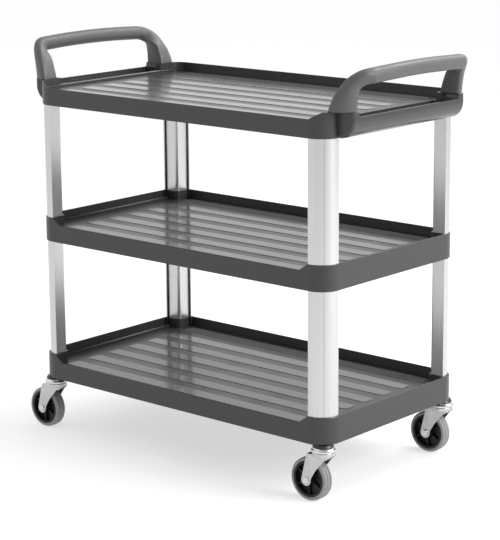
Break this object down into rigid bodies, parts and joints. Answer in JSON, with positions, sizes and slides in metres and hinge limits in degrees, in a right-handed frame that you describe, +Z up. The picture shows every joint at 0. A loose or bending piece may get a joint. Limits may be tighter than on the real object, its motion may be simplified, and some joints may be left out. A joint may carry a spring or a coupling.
{
  "type": "food service trolley",
  "caption": "Free-standing serving trolley: stacked moulded shelves on aluminium corner uprights, a bow handle over an end trough at each short end, swivel casters",
  "frame": {"origin": "centre of the footprint, on the floor under the casters", "axes": "+X along the length, +Y towards the high back rims (the lowered shelf fronts face -Y), +Z up"},
  "size_m": [1.052, 0.5028, 0.9725],
  "materials": {
    "shelf": "satin, fine moulded grain",
    "handle": "fine grain",
    "upright": "satin anodised",
    "zinc": "bright zinc plated",
    "steel": "plain",
    "brass": "plain",
    "black_plastic": "matt",
    "hub": "satin",
    "tyre": "grey non-marking rubber"
  },
  "bodies": {
    "trolley": {"top_shelf": "shelf", "middle_shelf": "shelf", "bottom_shelf": "shelf", "handle_right": "handle", "handle_left": "handle", "lower_upright_fl": "upright", "upper_upright_fl": "upright", "lower_upright_fr": "upright", "upper_upright_fr": "upright", "lower_upright_bl": "upright", "upper_upright_bl": "upright", "lower_upright_br": "upright", "upper_upright_br": "upright", "tie_rods": "steel", "coupling_nuts": "steel", "threaded_inserts": "brass", "handle_screws": "steel", "caster_stems": "steel", "swivel_caps": "zinc", "caster_collars": "black_plastic", "swivel_balls": "steel"},
    "swivel_fl": {"fork_fl": "zinc", "axle_bolt_fl": "zinc", "axle_nut_fl": "zinc", "axle_sleeve_fl": "steel"},
    "wheel_fl": {"hub_fl": "hub", "tyre_fl": "tyre"},
    "swivel_fr": {"fork_fr": "zinc", "axle_bolt_fr": "zinc", "axle_nut_fr": "zinc", "axle_sleeve_fr": "steel"},
    "wheel_fr": {"hub_fr": "hub", "tyre_fr": "tyre"},
    "swivel_bl": {"fork_bl": "zinc", "axle_bolt_bl": "zinc", "axle_nut_bl": "zinc", "axle_sleeve_bl": "steel"},
    "wheel_bl": {"hub_bl": "hub", "tyre_bl": "tyre"},
    "swivel_br": {"fork_br": "zinc", "axle_bolt_br": "zinc", "axle_nut_br": "zinc", "axle_sleeve_br": "steel"},
    "wheel_br": {"hub_br": "hub", "tyre_br": "tyre"}
  },
  "joints": [
    {"name": "caster_swivel_fl", "type": "hinge", "parent": "trolley", "child": "swivel_fl", "pos_m": [-0.427, -0.224, 0.11], "axis": [0, 0, 1], "continuous": true},
    {"name": "wheel_spin_fl", "type": "hinge", "parent": "swivel_fl", "child": "wheel_fl", "pos_m": [-0.46, -0.224, 0.05], "axis": [0, 1, 0], "continuous": true},
    {"name": "caster_swivel_fr", "type": "hinge", "parent": "trolley", "child": "swivel_fr", "pos_m": [0.427, -0.224, 0.11], "axis": [0, 0, 1], "continuous": true},
    {"name": "wheel_spin_fr", "type": "hinge", "parent": "swivel_fr", "child": "wheel_fr", "pos_m": [0.394, -0.224, 0.05], "axis": [0, 1, 0], "continuous": true},
    {"name": "caster_swivel_bl", "type": "hinge", "parent": "trolley", "child": "swivel_bl", "pos_m": [-0.427, 0.224, 0.11], "axis": [0, 0, 1], "continuous": true},
    {"name": "wheel_spin_bl", "type": "hinge", "parent": "swivel_bl", "child": "wheel_bl", "pos_m": [-0.46, 0.224, 0.05], "axis": [0, 1, 0], "continuous": true},
    {"name": "caster_swivel_br", "type": "hinge", "parent": "trolley", "child": "swivel_br", "pos_m": [0.427, 0.224, 0.11], "axis": [0, 0, 1], "continuous": true},
    {"name": "wheel_spin_br", "type": "hinge", "parent": "swivel_br", "child": "wheel_br", "pos_m": [0.394, 0.224, 0.05], "axis": [0, 1, 0], "continuous": true}
  ]
}
